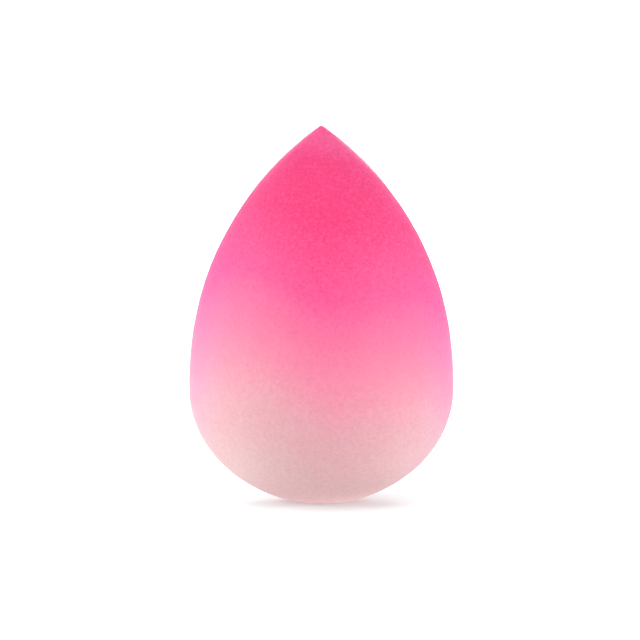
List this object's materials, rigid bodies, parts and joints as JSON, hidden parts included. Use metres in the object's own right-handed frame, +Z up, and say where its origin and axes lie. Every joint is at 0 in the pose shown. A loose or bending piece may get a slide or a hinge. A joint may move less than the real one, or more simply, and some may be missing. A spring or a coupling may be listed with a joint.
{
  "type": "makeup sponge",
  "caption": "Teardrop makeup sponge of soft dyed foam, with a pointed tip and a full rounded base that stands on its own flat.",
  "frame": {"origin": "centre of the small flat that the sponge stands on", "axes": "+Z up the axis of revolution to the pointed tip; X and Y lie in the plane that it stands on"},
  "size_m": [0.042, 0.042, 0.06],
  "materials": {
    "foam": "matte"
  },
  "bodies": {
    "root": {"sponge": "foam"}
  },
  "joints": []
}
